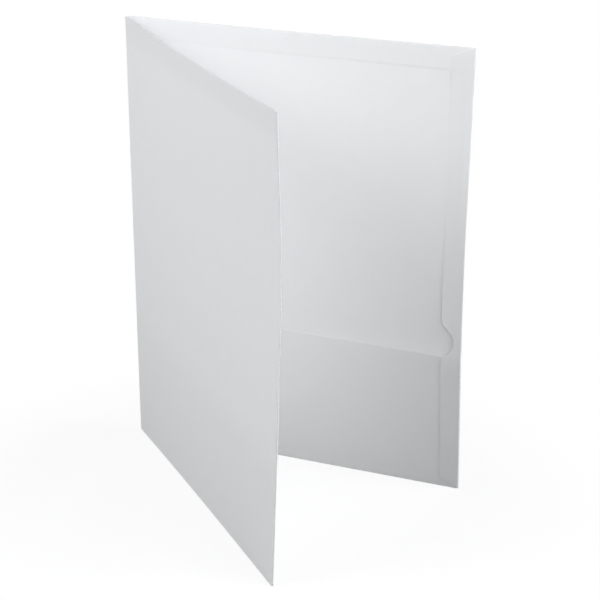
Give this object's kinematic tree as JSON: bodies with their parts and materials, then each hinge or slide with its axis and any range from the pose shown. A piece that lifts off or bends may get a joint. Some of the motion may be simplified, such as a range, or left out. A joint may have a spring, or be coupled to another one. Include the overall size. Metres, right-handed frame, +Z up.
{
  "type": "two pocket folder",
  "caption": "Plain white card folder standing open: covers joined by a spine crease, with turned-in top and fore edges and a glued pocket inside each cover for letter-size sheets.",
  "frame": {"origin": "under the middle of the folder's box as it stands open, on the surface that it stands on", "axes": "+Z up along the spine, +X from the spine to the back cover's fore-edge, +Y out of the back cover's outside"},
  "size_m": [0.236, 0.1566, 0.2985],
  "materials": {
    "card": "matte",
    "glue": "satin"
  },
  "bodies": {
    "back": {"back_cover_panel": "card", "back_top_strip": "card", "back_top_crease": "card", "back_top_strip_glue": "glue", "back_pocket": "card", "back_pocket_crease": "card", "back_side_strip": "card", "back_fore_edge_crease": "card", "back_side_strip_glue": "glue", "back_corner_glue": "glue", "back_pocket_glue": "glue", "spine_crease": "card"},
    "front": {"front_cover_panel": "card", "front_top_strip": "card", "front_top_crease": "card", "front_top_strip_glue": "glue", "front_pocket": "card", "front_pocket_crease": "card", "front_side_strip": "card", "front_fore_edge_crease": "card", "front_side_strip_glue": "glue", "front_corner_glue": "glue", "front_pocket_glue": "glue"}
  },
  "joints": [
    {"name": "spine_fold", "type": "hinge", "parent": "back", "child": "front", "pos_m": [-0.11682, 0.07719, 0.14925], "axis": [0, 0, -1], "range_deg": [-40.9, 138.7], "deforming": ["spine_crease"]}
  ]
}
